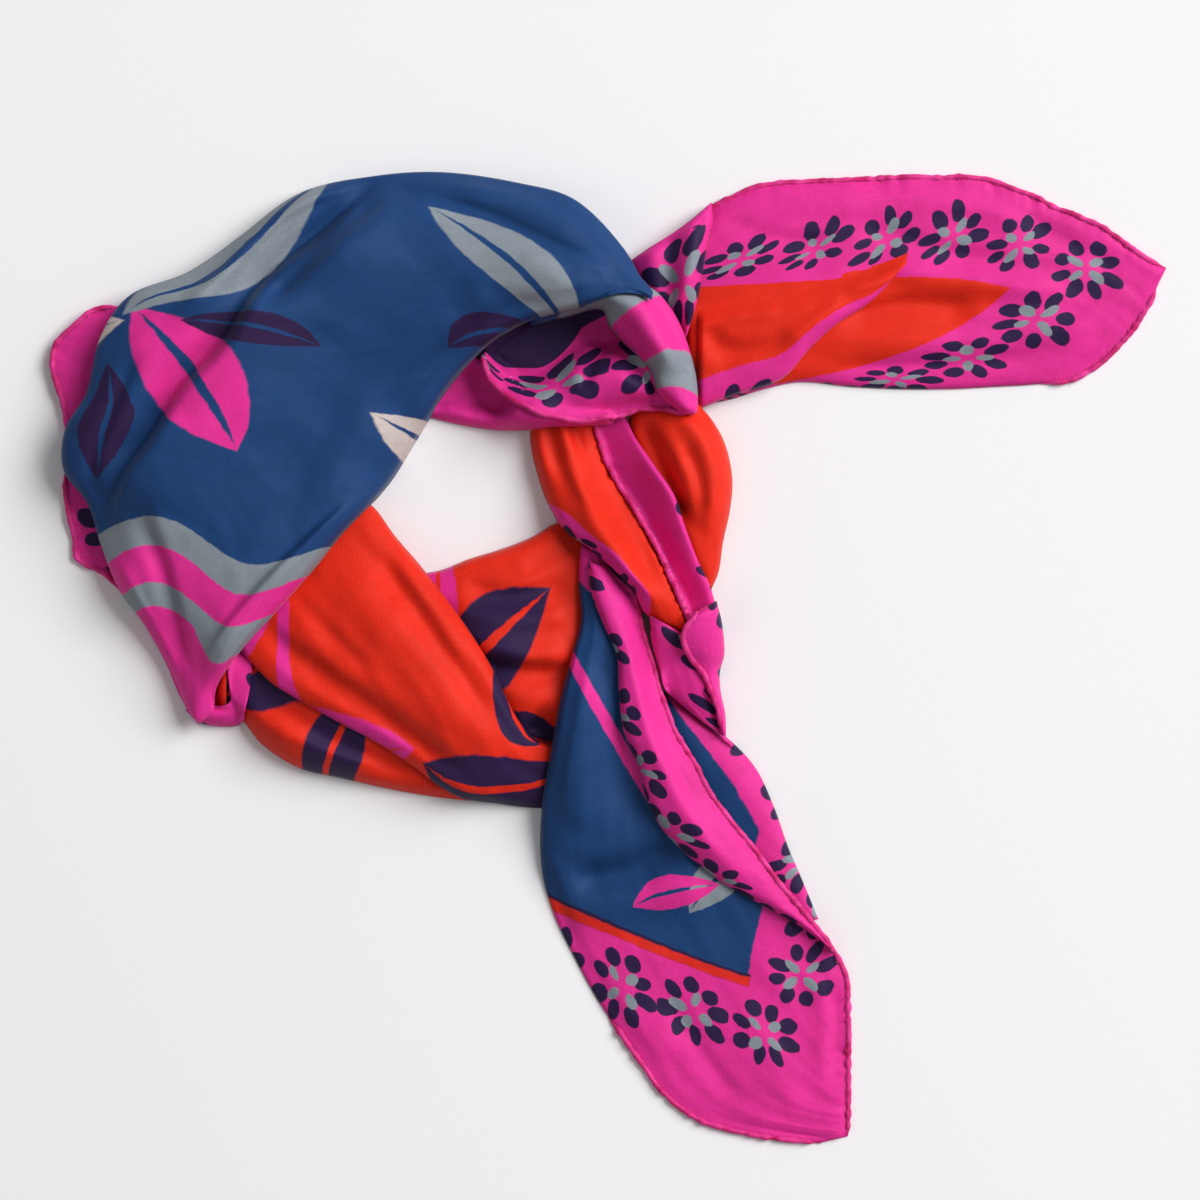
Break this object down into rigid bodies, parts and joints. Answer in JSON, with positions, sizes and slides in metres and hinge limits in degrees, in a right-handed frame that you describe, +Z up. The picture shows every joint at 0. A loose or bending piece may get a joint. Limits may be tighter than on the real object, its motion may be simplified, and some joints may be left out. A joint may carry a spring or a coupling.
{
  "type": "silk square scarf",
  "caption": "Printed silk square with a rolled hem, folded into a band, laid in a ring and loosely knotted, both pointed corners free; lies flat.",
  "frame": {"origin": "middle of the underside of the whole scarf, on the surface that it lies on", "axes": "+Z up, +X towards the right-hand free corner, +Y towards the outside of the broad band"},
  "size_m": [0.4796, 0.4172, 0.0346],
  "materials": {
    "silk_field": null,
    "silk_border": "fine silk twill, soft sheen, pink border printed with a row of aubergine and grey daisies",
    "silk_hem": "hand-rolled silk hem, slightly crinkled"
  },
  "bodies": {
    "root": {"band_lower": "silk_field", "band_inner": "silk_field", "turn_inside": "silk_field", "band_turn": "silk_field", "band_front": "silk_field", "corner_upper": "silk_border", "hem_corner_upper": "silk_hem", "corner_lower": "silk_border", "hem_corner_lower": "silk_hem", "tail_down_back": "silk_border", "tail_down": "silk_field", "hem_down_bottom": "silk_hem", "hem_down_side": "silk_hem", "tail_down_flap": "silk_border", "hem_flap": "silk_hem", "tail_right": "silk_border", "hem_right_top": "silk_hem", "hem_right_end": "silk_hem", "tail_right_pleat": "silk_field", "tail_right_turn": "silk_border", "drop_left": "silk_field", "drop_right": "silk_field", "drop_under": "silk_border", "drop_strip": "silk_border", "hem_strip": "silk_hem", "drop_turn": "silk_border", "hem_turn": "silk_hem", "knot_pouch": "silk_border", "knot_mouth": "silk_border", "hem_mouth": "silk_hem", "knot_lip": "silk_field", "band_upper": "silk_field"}
  },
  "joints": []
}
